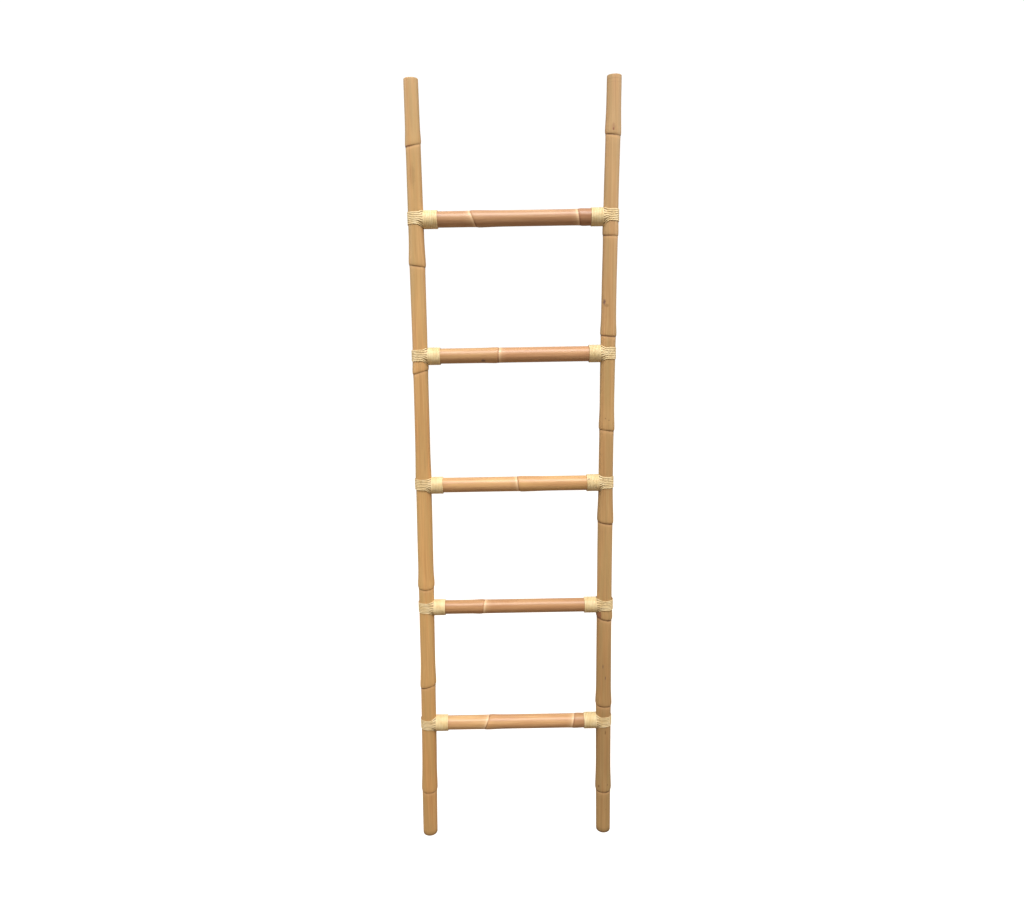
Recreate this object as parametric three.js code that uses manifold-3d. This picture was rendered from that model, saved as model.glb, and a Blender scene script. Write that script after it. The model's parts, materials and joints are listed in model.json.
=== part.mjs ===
// A leaning ladder rack of solid rattan poles, for quilts, blankets and towels.
//
// Two rails stand on their square-cut feet. Five rungs are coped to the rails, and one long screw
// holds each rung's end. Strips of split cane wrap each joint: a binding goes round the rail and
// along the rung, and a wound collar clamps its ends to the rung. A tack pins each collar.
//
// Millimetres. +X is to the right, +Y away from someone in front of the rack, +Z up.
// The origin is on the floor, under the middle of the rack's whole width.

import * as THREE from 'three';
import { mergeVertices } from 'three/addons/utils/BufferGeometryUtils.js';
import Module from 'manifold-3d';

const wasm = await Module();
wasm.setup();

// ---------------------------------------------------------------- driving dimensions

const RACK_HEIGHT = 1800;
const FIRST_RUNG = 299; // height of the lowest rung
const RUNG_PITCH = 302;
const FIT_GAP = 0.35; // left between any two pieces that touch
const POLE_SIDES = 16;

const RAIL = {
  spacing: 430, // between the two centre lines at half height
  bow: 6, // each rail curves out by this much at its foot and its top
  lean: 9.7, // both rails lean to the right: this far at the top, and back at the foot
  footRadius: 18.3,
  topRadius: 16.4,
  endBevel: 1.2,
};

// Growth nodes swell a pole slightly: a short rise below the scar and a longer one above it.
const NODE = { railSwell: 0.7, rungSwell: 0.4, below: 9, above: 15 };

const RAIL_NODES = {
  left: [119, 398, 654, 1168, 1405, 1663],
  right: [113, 342, 568, 806, 1027, 1244, 1465, 1678],
};

// The lowest rung comes first. Its nodes are measured from its middle.
const RUNGS = [
  { radius: 16.8, nodes: [-76, 137] },
  { radius: 16.4, nodes: [-78] },
  { radius: 17.4, nodes: [9] },
  { radius: 17.3, nodes: [-31] },
  { radius: 17.4, nodes: [-80, 156] },
];

const COPE_DEPTH = 8.5; // a coped end stops this short of passing the rail's centre line

const BINDING = { height: 27, lift: 2, thickness: 0.9, start: 3 };
const COLLAR = { thickness: 1.3, tailShort: 1.5 };

// How far each collar reaches along its rung from the rail's face, the lowest rung first.
const COLLAR_REACH = {
  left: [30.5, 28, 28.5, 29.5, 32],
  right: [31, 31.5, 28, 27, 28],
};

const SCREW = {
  sides: 10,
  headRadius: 4,
  headHeight: 2.8,
  shankRadius: 2,
  length: 64,
  tip: 6,
  sink: 1.2, // the head lies this far below the rail's surface
  clearance: 0.45,
};

const TACK = { sides: 8, headRadius: 2, headHeight: 0.7, shankRadius: 0.6, depth: 8, clearance: 0.4 };
const TACK_FROM_COLLAR_END = 4;

// Which flat of the collar each tack sits on, counted round from the front over the top.
const TACK_FLAT = {
  left: [9, 10, 9, 10, 9],
  right: [9, 10, 1, 9, 10],
};

const FINISH = {
  rail: { color: 0xc69c66, roughness: 0.55, metalness: 0 },
  rung: { color: 0xc08e5e, roughness: 0.4, metalness: 0 },
  cane: { color: 0xf0d9a0, roughness: 0.5, metalness: 0 },
  screw: { color: 0x9a9a98, roughness: 0.35, metalness: 1 },
  tack: { color: 0x6b5a45, roughness: 0.4, metalness: 1 },
};

// ---------------------------------------------------------------- helpers

const SIDE_SIGN = { left: -1, right: 1 };
const QUARTER_TURN = Math.PI / 2;

/** A closed three.js geometry as a manifold-3d solid. */
function toSolid(geometry) {
  const bare = geometry.clone();
  bare.deleteAttribute('normal');
  bare.deleteAttribute('uv');
  const merged = mergeVertices(bare, 1e-4);
  const index = merged.index.array;
  const triangles = [];
  for (let i = 0; i < index.length; i += 3) {
    const [a, b, c] = [index[i], index[i + 1], index[i + 2]];
    if (a !== b && b !== c && c !== a) triangles.push(a, b, c);
  }
  return new wasm.Manifold(new wasm.Mesh({
    numProp: 3,
    vertProperties: merged.attributes.position.array,
    triVerts: new Uint32Array(triangles),
  }));
}

/** A manifold-3d solid as a three.js geometry. */
function toGeometry(solid) {
  const mesh = solid.getMesh();
  const geometry = new THREE.BufferGeometry();
  geometry.setAttribute('position', new THREE.BufferAttribute(mesh.vertProperties, 3));
  geometry.setIndex(new THREE.BufferAttribute(mesh.triVerts, 1));
  geometry.computeVertexNormals();
  return geometry;
}

/**
 * A round piece on the Z axis from [height, radius] stations, lowest first, closed at both ends.
 */
function turned(stations, sides) {
  const first = stations[0];
  const last = stations[stations.length - 1];
  const outline = [[first[0], 0], ...stations, [last[0], 0]];
  const points = outline.map(([height, radius]) => new THREE.Vector2(radius, height));
  return new THREE.LatheGeometry(points, sides).rotateX(QUARTER_TURN);
}

/** A ring on the Z axis with a rectangular section. */
function ring(inner, outer, from, to, sides) {
  const corners = [[inner, from], [outer, from], [outer, to], [inner, to], [inner, from]];
  const points = corners.map(([radius, height]) => new THREE.Vector2(radius, height));
  return new THREE.LatheGeometry(points, sides).rotateX(QUARTER_TURN);
}

/** Lays a piece made on the Z axis along X, from `x`, pointing towards +X or -X. */
function alongX(geometry, x, height, direction = 1) {
  return geometry.rotateY(direction * QUARTER_TURN).translate(x, 0, height);
}

/** Adds the stations of one swollen growth node to a pole. */
function nodeStations(at, radiusAt, swell) {
  return [
    [at - NODE.below, radiusAt(at - NODE.below)],
    [at, radiusAt(at) + swell],
    [at + NODE.above, radiusAt(at + NODE.above)],
  ];
}

// ---------------------------------------------------------------- rails

/** Where a rail's centre line stands at a height. */
function railX(side, height) {
  const fromMiddle = (2 * height) / RACK_HEIGHT - 1;
  const reach = RAIL.spacing / 2 + RAIL.bow * fromMiddle ** 2;
  const centring = (RAIL.footRadius - RAIL.topRadius) / 2;
  return SIDE_SIGN[side] * reach + RAIL.lean * fromMiddle + centring;
}

/** Radius of a rail's stem at a height, without its nodes. */
function railRadius(height) {
  return THREE.MathUtils.lerp(RAIL.footRadius, RAIL.topRadius, height / RACK_HEIGHT);
}

/** The whole pole of a rail, grown all round by `extra`. */
function railPole(side, extra = 0) {
  const bevel = RAIL.endBevel;
  const stations = [
    [0, railRadius(0) - bevel],
    [bevel, railRadius(0)],
    ...RAIL_NODES[side].flatMap((at) => nodeStations(at, railRadius, NODE.railSwell)),
    [RACK_HEIGHT - bevel, railRadius(RACK_HEIGHT)],
    [RACK_HEIGHT, railRadius(RACK_HEIGHT) - bevel],
  ].map(([height, radius]) => [height, radius + extra]);
  const geometry = turned(stations, POLE_SIDES);
  const position = geometry.attributes.position;
  for (let i = 0; i < position.count; i += 1) {
    position.setX(i, position.getX(i) + railX(side, position.getZ(i)));
  }
  return toSolid(geometry);
}

// ---------------------------------------------------------------- rungs

const rungHeight = (number) => FIRST_RUNG + (number - 1) * RUNG_PITCH;

/** The round stick of a rung, before its screw and tack holes, grown all round by `extra`. */
function rungStick(number, extra = 0) {
  const { radius, nodes } = RUNGS[number - 1];
  const height = rungHeight(number);
  const stations = [
    [railX('left', height) + COPE_DEPTH - extra, radius],
    ...nodes.flatMap((at) => nodeStations(at, () => radius, NODE.rungSwell)),
    [railX('right', height) - COPE_DEPTH + extra, radius],
  ].map(([x, size]) => [x, size + extra]);
  return toSolid(alongX(turned(stations, POLE_SIDES), 0, height));
}

// ---------------------------------------------------------------- the pieces of one joint

/** Places shared by everything at one end of one rung. */
function jointPlace(number, side) {
  const sign = SIDE_SIGN[side];
  const height = rungHeight(number);
  return {
    sign,
    height,
    railX: railX(side, height),
    railRadius: railRadius(height),
    rungRadius: RUNGS[number - 1].radius,
    collarEnd: railRadius(height) + COLLAR_REACH[side][number - 1],
    inwards: -sign,
  };
}

/** A wood screw with a countersunk head, driven through the rail into the rung's end. */
function screwSolid(place, extra = 0) {
  const { headRadius, headHeight, shankRadius, length, tip } = SCREW;
  const stations = extra > 0
    ? [
      [-SCREW.sink - 4, headRadius + extra],
      [headHeight + extra, headRadius + extra],
      [headHeight + extra + 0.2, shankRadius + extra],
      [length + extra, shankRadius + extra],
    ]
    : [
      [0, headRadius - 0.3],
      [0.5, headRadius],
      [headHeight, shankRadius],
      [length - tip, shankRadius],
      [length, 0.4],
    ];
  const head = place.railX + place.sign * (place.railRadius - SCREW.sink);
  return toSolid(alongX(turned(stations, SCREW.sides), head, place.height, place.inwards));
}

/** The height of the flats of a collar's outside above the rung's centre line. */
function collarFlat(place) {
  const outer = place.rungRadius + BINDING.thickness + COLLAR.thickness + 2 * FIT_GAP;
  return outer * Math.cos(Math.PI / POLE_SIDES);
}

/** A tack through the collar into the rung, with its head on one flat of the collar. */
function tackSolid(place, flat, extra = 0) {
  const seat = collarFlat(place) + FIT_GAP;
  const foot = place.rungRadius - TACK.depth;
  const { headRadius, headHeight, shankRadius } = TACK;
  const stations = extra > 0
    ? [
      [foot - extra, shankRadius + extra],
      [seat + 4, shankRadius + extra],
    ]
    : [
      [foot, 0.2],
      [foot + 2, shankRadius],
      [seat, shankRadius],
      [seat, headRadius],
      [seat + 0.25, headRadius],
      [seat + headHeight, headRadius * 0.5],
    ];
  const fromFront = ((flat + 0.5) * 2 * Math.PI) / POLE_SIDES;
  const x = place.railX + place.inwards * (place.collarEnd - TACK_FROM_COLLAR_END);
  const geometry = turned(stations, TACK.sides)
    .rotateX(QUARTER_TURN - fromFront)
    .translate(x, 0, place.height);
  return toSolid(geometry);
}

/** Cane strips round the rail, with their ends laid along the rung. */
function bindingSolid(place, grownRail, grownRung, tackHole) {
  const wrap = BINDING.thickness + FIT_GAP;
  const band = toSolid(turned([
    [-BINDING.height / 2, place.railRadius + wrap],
    [BINDING.height / 2, place.railRadius + wrap],
  ], POLE_SIDES).translate(place.railX, 0, place.height + BINDING.lift));
  const tails = toSolid(alongX(turned([
    [BINDING.start, place.rungRadius + wrap],
    [place.collarEnd - COLLAR.tailShort, place.rungRadius + wrap],
  ], POLE_SIDES), place.railX, place.height, place.inwards));
  return band.add(tails).subtract(grownRail).subtract(grownRung).subtract(tackHole);
}

/** The cane collar wound round the rung's end, over the ends of the strips. */
function collarSolid(place, tackHole) {
  const inner = place.rungRadius + BINDING.thickness + 2 * FIT_GAP;
  const from = place.railRadius + BINDING.thickness + 2 * FIT_GAP;
  const tube = ring(inner, inner + COLLAR.thickness, from, place.collarEnd, POLE_SIDES);
  return toSolid(alongX(tube, place.railX, place.height, place.inwards)).subtract(tackHole);
}

// ---------------------------------------------------------------- the rack

const rack = new THREE.Group();

function addPiece(name, solid, finish) {
  const mesh = new THREE.Mesh(toGeometry(solid), new THREE.MeshStandardMaterial(finish));
  mesh.name = name;
  rack.add(mesh);
}

const sides = Object.keys(SIDE_SIGN);
const rails = Object.fromEntries(sides.map((side) => [side, railPole(side)]));
const grownRails = Object.fromEntries(sides.map((side) => [side, railPole(side, FIT_GAP)]));

for (let number = 1; number <= RUNGS.length; number += 1) {
  const grownRung = rungStick(number, FIT_GAP);
  let rung = rungStick(number);
  for (const side of sides) {
    const place = jointPlace(number, side);
    const flat = TACK_FLAT[side][number - 1];
    const screwHole = screwSolid(place, SCREW.clearance);
    const tackHole = tackSolid(place, flat, TACK.clearance);
    rails[side] = rails[side].subtract(screwHole);
    rung = rung.subtract(grownRails[side]).subtract(screwHole).subtract(tackHole);
    addPiece(`screw_${number}_${side}`, screwSolid(place), FINISH.screw);
    addPiece(`tack_${number}_${side}`, tackSolid(place, flat), FINISH.tack);
    const binding = bindingSolid(place, grownRails[side], grownRung, tackHole);
    addPiece(`rail_binding_${number}_${side}`, binding, FINISH.cane);
    addPiece(`rung_collar_${number}_${side}`, collarSolid(place, tackHole), FINISH.cane);
  }
  addPiece(`rung_${number}`, rung, FINISH.rung);
}

for (const side of sides) addPiece(`rail_${side}`, rails[side], FINISH.rail);

export default rack;
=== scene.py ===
# %% [markdown]
# # A ladder rack of rattan poles
#
# The rack is a leaning ladder: two long rattan poles stand as rails, and five shorter ones are its
# rungs. Split cane binds each joint. The poles and fastenings already exist as a plain, exact
# frame, so this lesson loads that frame first and then builds every visible piece around it: the
# poles with their growth scars, the strips that go round each rail, the wound collars and the tacks.

# %% Load the frame
import json
import math
import random

import bmesh
import bpy
from mathutils import Matrix, Vector

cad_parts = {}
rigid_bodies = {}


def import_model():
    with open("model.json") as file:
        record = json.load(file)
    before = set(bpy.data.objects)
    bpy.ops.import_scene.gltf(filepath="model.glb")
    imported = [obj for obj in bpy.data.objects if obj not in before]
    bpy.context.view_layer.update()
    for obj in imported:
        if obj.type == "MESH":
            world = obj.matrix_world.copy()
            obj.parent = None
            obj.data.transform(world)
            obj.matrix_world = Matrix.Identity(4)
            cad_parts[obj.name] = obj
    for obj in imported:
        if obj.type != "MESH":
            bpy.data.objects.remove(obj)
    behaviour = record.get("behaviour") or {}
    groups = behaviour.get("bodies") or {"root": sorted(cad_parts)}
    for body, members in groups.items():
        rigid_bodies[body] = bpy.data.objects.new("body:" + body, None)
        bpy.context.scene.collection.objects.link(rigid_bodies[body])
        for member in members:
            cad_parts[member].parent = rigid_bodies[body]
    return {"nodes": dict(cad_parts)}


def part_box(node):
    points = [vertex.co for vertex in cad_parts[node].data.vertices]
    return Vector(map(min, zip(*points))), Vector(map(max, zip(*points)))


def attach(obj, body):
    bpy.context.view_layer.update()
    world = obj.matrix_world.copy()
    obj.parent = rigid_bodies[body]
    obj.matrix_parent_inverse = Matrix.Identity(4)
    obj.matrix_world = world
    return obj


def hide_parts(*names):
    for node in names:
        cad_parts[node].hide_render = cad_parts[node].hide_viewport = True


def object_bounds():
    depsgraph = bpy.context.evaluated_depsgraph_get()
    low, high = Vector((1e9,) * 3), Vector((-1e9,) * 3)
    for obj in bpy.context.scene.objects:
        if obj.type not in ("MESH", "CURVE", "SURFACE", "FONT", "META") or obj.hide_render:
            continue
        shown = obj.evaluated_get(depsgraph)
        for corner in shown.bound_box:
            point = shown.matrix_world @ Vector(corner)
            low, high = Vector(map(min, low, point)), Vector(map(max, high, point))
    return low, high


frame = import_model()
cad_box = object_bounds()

MM = 0.001  # the frame is in metres, and a maker of rattan furniture thinks in millimetres
TINY = 1e-6  # metres, for two places that should be the same
SIDES = ("left", "right")
RUNG_NUMBERS = range(1, 6)
print("frame box in mm:", [round(value / MM, 1) for corner in cad_box for value in corner])

# %% [markdown]
# ## Reading the poles from the frame
#
# The rails are not quite straight: a rattan pole is steamed and pulled straight by hand, and a
# little of its curve stays. Typing their route in again would risk a mismatch, so it is measured.
# The frame's rail is a stack of rings, and each ring's middle is a point of the pole's centre line.

# %% Measure a rail's rings and a rung's axis
RING_POINTS = 16  # in each ring of the frame's rails


def rail_rings(name):
    """(height, middle X, radius) of each whole ring of a rail in the frame, lowest first."""
    levels = {}
    for vertex in frame["nodes"][name].data.vertices:
        x, y, z = vertex.co
        levels.setdefault(round(z / MM, 1), set()).add((round(x, 6), round(y, 6)))
    rings = []
    for height, points in sorted(levels.items()):
        if len(points) == RING_POINTS:
            middle = sum(x for x, y in points) / RING_POINTS
            radius = max(math.hypot(x - middle, y) for x, y in points)
            rings.append((height * MM, middle, radius))
    return rings


def along_rings(rings, height, column):
    """A ring value, read at any height by going straight from one ring to the next."""
    for low, high in zip(rings, rings[1:]):
        if height <= high[0]:
            share = (height - low[0]) / (high[0] - low[0])
            return low[column] + (high[column] - low[column]) * share
    return rings[-1][column]


RINGS = {side: rail_rings(f"rail_{side}") for side in SIDES}
RACK_HEIGHT = cad_box[1].z
RUNG_AXIS = {}
RUNG_RADIUS = {}
for number in RUNG_NUMBERS:
    low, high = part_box(f"rung_{number}")
    RUNG_AXIS[number] = (low.z + high.z) / 2
    RUNG_RADIUS[number] = (high.z - low.z) / 2
print("rungs at", [round(RUNG_AXIS[n] / MM) for n in RUNG_NUMBERS], "mm")

# %% [markdown]
# ## The camera and the light
#
# The camera stands a few steps in front of the rack, above its middle, and looks slightly down
# with a wide lens, so that the tall rack fits in. Making it first means that every later piece can
# be looked at as it is made. The light is a studio's: one large soft box high up in front, which
# gives each rung a bright top and a dark underside, and a weak one at each side, which keeps the
# sides of the rails from going dark.

# %% Camera
CAMERA_PLACE = Vector((-6.65, -1587.8, 1213.4)) * MM
CAMERA_TILT = math.radians(-8.636)
CAMERA_TURN = math.radians(0.078)
CAMERA_ROLL = math.radians(-0.984)

bpy.ops.object.select_all(action="DESELECT")
bpy.ops.object.camera_add(location=CAMERA_PLACE)
camera = bpy.context.object
camera.name = "camera"
camera.data.lens = 24.01
camera.data.sensor_width = 36
camera.data.clip_start = 0.05
camera.matrix_world = (
    Matrix.Translation(CAMERA_PLACE)
    @ Matrix.Rotation(-CAMERA_TURN, 4, "Z")
    @ Matrix.Rotation(math.pi / 2 + CAMERA_TILT, 4, "X")
    @ Matrix.Rotation(CAMERA_ROLL, 4, "Z")
)
bpy.context.scene.camera = camera
print("camera at", [round(value / MM) for value in CAMERA_PLACE], "mm")

# %% Soft boxes
def soft_box(name, place, aim, size, power):
    """A square area light at place that faces aim. All are in metres, and power is in watts."""
    bpy.ops.object.light_add(type="AREA", location=place)
    light = bpy.context.object
    light.name = name
    light.data.shape = "SQUARE"
    light.data.size = size
    light.data.energy = power
    light.rotation_euler = (Vector(aim) - Vector(place)).to_track_quat("-Z", "Y").to_euler()
    print(name, power, "W")


soft_box("soft_box_above", (0.2, -2.9, 5.6), aim=(0, 0, 0.9), size=3.2, power=345)
for side, across in (("left", -3.2), ("right", 3.2)):
    soft_box(f"soft_box_{side}", (across, -0.4, 2.2), aim=(0, 0, 1), size=2, power=42)

# %% [markdown]
# The surroundings and every finish are trees of nodes. A few helpers make and fill the nodes, and
# give an object its material.

# %% Node helpers
def node(tree, kind, **settings):
    made = tree.nodes.new(kind)
    for name, value in settings.items():
        setattr(made, name, value)
    return made


def fill(made, **values):
    """Sets a node's sockets by name, with _ for a space."""
    for name, value in values.items():
        made.inputs[name.replace("_", " ")].default_value = value
    return made


def ramp(tree, value, stops):
    """A colour ramp over value, with stops = [(place, colour)]."""
    made = node(tree, "ShaderNodeValToRGB")
    line = made.color_ramp
    while len(line.elements) < len(stops):
        line.elements.new(1)
    for element, (place, colour) in zip(line.elements, stops):
        element.position = place
        element.color = (*colour, 1)
    tree.links.new(value, made.inputs["Fac"])
    return made.outputs["Color"]


def new_material(name):
    """A new material, its node tree and its Principled shader."""
    material = bpy.data.materials.new(name)
    material.use_nodes = True
    return material, material.node_tree, material.node_tree.nodes["Principled BSDF"]


def give_finish(obj, material):
    """Makes material the only one that obj has."""
    obj.data.materials.clear()
    obj.data.materials.append(material)


# %% [markdown]
# A white room would light the rungs from below as strongly as from above and flatten them. So the
# surroundings shine more from above than from below, where they are dim and warm, while the camera
# simply sees white everywhere.

# %% Surroundings
world = bpy.data.worlds.new("studio")
bpy.context.scene.world = world
world.use_nodes = True
sky = world.node_tree
sky.nodes.clear()
direction = node(sky, "ShaderNodeTexCoord")
split = node(sky, "ShaderNodeSeparateXYZ")
upwards = fill(node(sky, "ShaderNodeMapRange"), From_Min=-0.5, From_Max=0.8)
shades = ramp(sky, upwards.outputs["Result"], [(0, (0.12, 0.085, 0.06)), (1, (0.5, 0.5, 0.5))])
glow = node(sky, "ShaderNodeBackground")
backdrop = fill(node(sky, "ShaderNodeBackground"), Color=(1, 1, 1, 1), Strength=1.05)
ray = node(sky, "ShaderNodeLightPath")
choose = node(sky, "ShaderNodeMixShader")
result = node(sky, "ShaderNodeOutputWorld")
sky.links.new(direction.outputs["Generated"], split.inputs["Vector"])
sky.links.new(split.outputs["Z"], upwards.inputs["Value"])
sky.links.new(shades, glow.inputs["Color"])
sky.links.new(ray.outputs["Is Camera Ray"], choose.inputs["Fac"])
sky.links.new(glow.outputs["Background"], choose.inputs[1])
sky.links.new(backdrop.outputs["Background"], choose.inputs[2])
sky.links.new(choose.outputs["Shader"], result.inputs["Surface"])
bpy.context.scene.view_settings.view_transform = "Standard"

# %% [markdown]
# The floor looks white, and yet it must not throw much light back up at the rungs. Its paint is a
# dull clay brown, and the camera alone sees a glow added to it.

# %% Floor
bpy.ops.mesh.primitive_plane_add(size=60, location=(0, 0, 0))
floor = bpy.context.object
floor.name = "floor"
floor_paint, paint, clay = new_material("floor_paint")
fill(clay, Base_Color=(0.235, 0.195, 0.155, 1), Roughness=1, Specular_IOR_Level=0)
clay.inputs["Emission Color"].default_value = (1, 1, 1, 1)
ray = node(paint, "ShaderNodeLightPath")
paint.links.new(ray.outputs["Is Camera Ray"], clay.inputs["Emission Strength"])
give_finish(floor, floor_paint)
print("floor", floor.dimensions.x, "m wide")

# %% [markdown]
# ## Helpers for the edit mode
#
# Most shaping below is select, then move. These few helpers enter and leave the edit mode, pick
# vertices by their place, turn what is picked about a point, and finish a mesh.

# %% Edit mode helpers
def only(obj):
    """Makes obj the one selected and active object."""
    bpy.ops.object.select_all(action="DESELECT")
    obj.select_set(True)
    bpy.context.view_layer.objects.active = obj


def start_edit(obj):
    only(obj)
    bpy.ops.object.mode_set(mode="EDIT")
    bpy.context.tool_settings.mesh_select_mode = (True, False, False)


def end_edit():
    bpy.ops.object.mode_set(mode="OBJECT")


def pick(obj, wanted):
    """In edit mode, selects the vertices whose place passes wanted, and nothing else."""
    bpy.ops.mesh.select_all(action="DESELECT")
    mesh = bmesh.from_edit_mesh(obj.data)
    for vertex in mesh.verts:
        vertex.select_set(bool(wanted(vertex.co)))
    mesh.select_flush(True)
    bmesh.update_edit_mesh(obj.data)


def tag_picked(obj, layer, value_at):
    """In edit mode, writes value_at(place) into a number that each selected vertex carries."""
    mesh = bmesh.from_edit_mesh(obj.data)
    numbers = mesh.verts.layers.float[layer]
    for vertex in mesh.verts:
        if vertex.select:
            vertex[numbers] = value_at(vertex.co)
    bmesh.update_edit_mesh(obj.data)


def turn_picked(angle, axis, centre):
    """Turns what is selected by the right-hand rule. With no window the operator turns the other way."""
    if abs(angle) > 1e-6:
        bpy.ops.transform.rotate(
            value=-angle, orient_axis=axis, orient_type="GLOBAL", center_override=centre
        )


def face_outwards():
    """In edit mode, turns every face outwards."""
    bpy.ops.mesh.select_all(action="SELECT")
    bpy.ops.mesh.normals_make_consistent(inside=False)


def apply_modifiers(obj):
    only(obj)
    for modifier in list(obj.modifiers):
        bpy.ops.object.modifier_apply(modifier=modifier.name)


def apply_place(obj):
    only(obj)
    bpy.ops.object.transform_apply(location=True, rotation=True, scale=True)


def shade_smooth(obj, degrees):
    """Shades obj smooth, but keeps the edges that are sharper than degrees."""
    only(obj)
    bpy.ops.object.shade_smooth_by_angle(angle=math.radians(degrees))


# %% [markdown]
# ## Rattan poles
#
# Rattan is a solid climbing palm, not hollow like bamboo. Each leaf sheath leaves a scar round the
# pole when it is peeled off: a thin dark groove, with the wood above it a little thicker. The scars
# slant, because the sheath grew up one side. A pole could be lathed as one profile, but a lathe only
# makes level rings, so a cylinder is cut by tilted planes instead, and each cut ring is scaled.

# %% Cut one growth scar
SCAR_PROFILE = (
    # above the scar in mm, thicker in mm, scar tint, pale tint
    (-17, 0.0, 0, 0),
    (-7, 0.15, 0, 0.25),
    (-2.8, 0.25, 0, 1),
    (-1.1, 0.12, 0.25, 0.8),
    (-0.1, -0.35, 1, 0),
    (0.8, 0.25, 1, 0),
    (1.8, 0.6, 0.2, 0),
    (3.0, 0.6, 0, 0),
    (7, 0.5, 0, 0),
    (20, 0.12, 0, 0),
)


def cut_ring(pole, height, lean, wider, radius):
    """Cuts a ring at height, tilted by lean = (rise per X, rise per Y), and makes it wider."""
    bpy.ops.mesh.select_all(action="SELECT")
    plane = Vector((-lean[0], -lean[1], 1)).normalized()
    bpy.ops.mesh.bisect(plane_co=(0, 0, height), plane_no=plane)
    grow = 1 + wider / radius
    bpy.ops.transform.resize(value=(grow, grow, 1), center_override=(0, 0, height))


def cut_scar(pole, radius, height, rise_x, rise_y, swelling, darkness, facing):
    """Darkness is how dark the line is at -X and at +X. Facing is -1 where the pole grew downwards."""
    low_x, high_x = darkness
    for above, wider, scar, pale in SCAR_PROFILE:
        cut_ring(pole, height + facing * above * MM, (rise_x, rise_y), wider * swelling * MM, radius)
        tag_picked(
            pole, "scar", lambda place: scar * (low_x + (high_x - low_x) * (0.5 + place.x / radius / 2))
        )
        tag_picked(pole, "pale", lambda place: pale)


# %% Shape a whole pole, standing on the origin
POLE_SIDES = 44
PLAIN_STEP = 34 * MM  # between the rings on a plain stretch
SCAR_BELOW, SCAR_ABOVE = 26 * MM, 30 * MM  # no plain ring is cut this close to a scar


def shape_pole(name, length, radius, scars, edge):
    """A straight pole with rounded ends. Each scar holds what cut_scar asks for after the radius."""
    bpy.ops.mesh.primitive_cylinder_add(
        vertices=POLE_SIDES, radius=radius, depth=length, location=(0, 0, length / 2)
    )
    pole = bpy.context.object
    pole.name = pole.data.name = name
    apply_place(pole)
    for layer in ("scar", "pale"):
        pole.data.attributes.new(layer, "FLOAT", "POINT")
    start_edit(pole)
    for end in (0, length):
        pick(pole, lambda place: abs(place.z - end) < TINY)
        bpy.ops.mesh.bevel(offset=edge, segments=3, profile=0.6)
    taken = sorted(scar[0] for scar in scars)
    rings = int(length / PLAIN_STEP)
    for step in range(1, rings):
        height = length * step / rings
        if all(not -SCAR_BELOW < height - scar < SCAR_ABOVE for scar in taken):
            cut_ring(pole, height, (0, 0), 0, radius)
    for scar in scars:
        cut_scar(pole, radius, *scar)
    for end in (0, length):
        pick(pole, lambda place: abs(place.z - end) < TINY)
        bpy.ops.mesh.inset(thickness=1.3 * MM, depth=0)  # holds the end flat when it is smoothed
        bpy.ops.mesh.inset(thickness=5 * MM, depth=-0.15 * MM)
    end_edit()
    smooth = pole.modifiers.new("smooth", "SUBSURF")
    smooth.levels = smooth.render_levels = 1
    apply_modifiers(pole)
    shade_smooth(pole, 50)
    return pole


# %% [markdown]
# ### The two rails
#
# Each rail is shaped straight and then put into a lattice, a soft cage of a few levels. Moving and
# widening the levels carries the pole with them, so it takes up the curve that was measured from
# the frame, and the slow swelling and thinning that a grown pole has.

# %% Bend a straight pole into the rail's place
def bend_into_rail(pole, side, radius, girths):
    """girths = the pole's radius in mm at evenly spaced heights, from the foot to the top."""
    cage_width = 80 * MM
    bpy.ops.object.add(type="LATTICE", location=(0, 0, RACK_HEIGHT / 2))
    cage = bpy.context.object
    cage.scale = (cage_width, cage_width, RACK_HEIGHT)
    levels = len(girths)
    cage.data.points_u = cage.data.points_v = 2
    cage.data.points_w = levels
    cage.data.interpolation_type_w = "KEY_CARDINAL"
    cage.data.interpolation_type_u = cage.data.interpolation_type_v = "KEY_LINEAR"
    for index, point in enumerate(cage.data.points):
        level = index // 4  # four corners to a level
        height = RACK_HEIGHT * level / (levels - 1)
        thicker = girths[level] * MM / radius
        shift = along_rings(RINGS[side], height, 1) / cage_width
        rest = point.co.copy()
        point.co_deform = (rest.x * thicker + shift, rest.y * thicker, rest.z)
    bend = pole.modifiers.new("bend", "LATTICE")
    bend.object = cage
    apply_modifiers(pole)
    bpy.data.objects.remove(cage)


# %% Shape both rails
# Each scar: height in mm, rise to the right, rise to the back, swelling, darkness at the left and right.
RAIL_SCARS = {
    "left": [
        (119, 0.02, 0.03, 0.8, (0.45, 0.45)), (398, 0.26, -0.15, 0.9, (1, 0.5)),
        (654, 0, 0.25, 1, (0.5, 0.5)), (908, 0.03, 0, 0.5, (0.6, 0.6)), (1168, 0.28, 0, 1, (0.4, 0.6)),
        (1405, -0.15, 0.03, 1, (0.8, 0.6)), (1663, 0.2, 0.2, 0.8, (1.2, 0)),
    ],
    "right": [
        (113, 0, 0.06, 1, (1, 1)), (342, -0.1, 0, 0.9, (0.9, 1)), (568, -0.24, 0.1, 1.2, (1.2, 0.9)),
        (806, -0.17, 0.02, 1, (0.8, 1)), (1027, -0.13, 0, 1, (0.5, 1)), (1244, -0.1, 0.06, 0.9, (1, 0.7)),
        (1465, -0.06, 0.1, 0.8, (1, 0.1)), (1678, -0.14, 0.14, 0.9, (0.9, 0.6)),
    ],
}
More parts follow.
